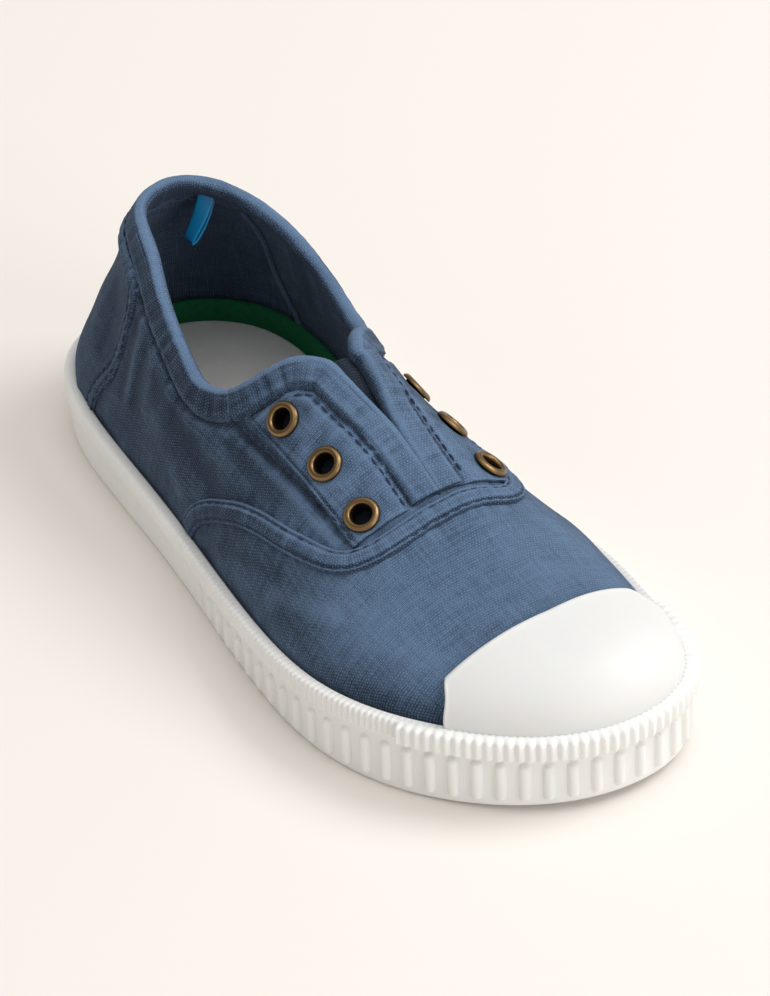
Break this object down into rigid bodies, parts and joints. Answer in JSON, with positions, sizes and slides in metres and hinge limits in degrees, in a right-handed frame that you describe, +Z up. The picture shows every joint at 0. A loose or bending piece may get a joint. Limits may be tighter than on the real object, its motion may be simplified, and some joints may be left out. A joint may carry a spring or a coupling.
{
  "type": "canvas sneaker",
  "caption": "Child's slip-on canvas sneaker, right foot: elastic collar, brass eyelets without a lace, white rubber toe cap and ribbed rubber sole.",
  "frame": {"origin": "on the floor under the middle of the shoe's bounding box", "axes": "+X points to the toe, +Y to the inner side of the right foot, +Z up"},
  "size_m": [0.1734, 0.0704, 0.0539],
  "materials": {
    "white_rubber": "matt white moulded rubber",
    "cap_rubber": "smooth satin white moulded rubber",
    "blue_canvas": "washed denim-blue plain-weave cotton canvas",
    "navy_elastic": "dark navy woven elastic",
    "loop_ribbon": "plain blue satin ribbon, blank",
    "green_foam": "matt green moulded foam",
    "cover_cloth": "plain off-white cloth",
    "aged_brass": "antique brass, worn bright at the rim"
  },
  "bodies": {
    "root": {"outsole": "white_rubber", "foxing": "white_rubber", "toe_bumper": "white_rubber", "toe_cap": "cap_rubber", "upper": "blue_canvas", "collar_hem": "blue_canvas", "heel_counter": "blue_canvas", "vamp_band": "blue_canvas", "eyestay_outer": "blue_canvas", "eyestay_inner": "blue_canvas", "gusset": "navy_elastic", "heel_loop": "loop_ribbon", "insole": "green_foam", "insole_cover": "cover_cloth", "eyelet_outer_1": "aged_brass", "eyelet_outer_2": "aged_brass", "eyelet_outer_3": "aged_brass", "eyelet_inner_1": "aged_brass", "eyelet_inner_2": "aged_brass", "eyelet_inner_3": "aged_brass"}
  },
  "joints": []
}
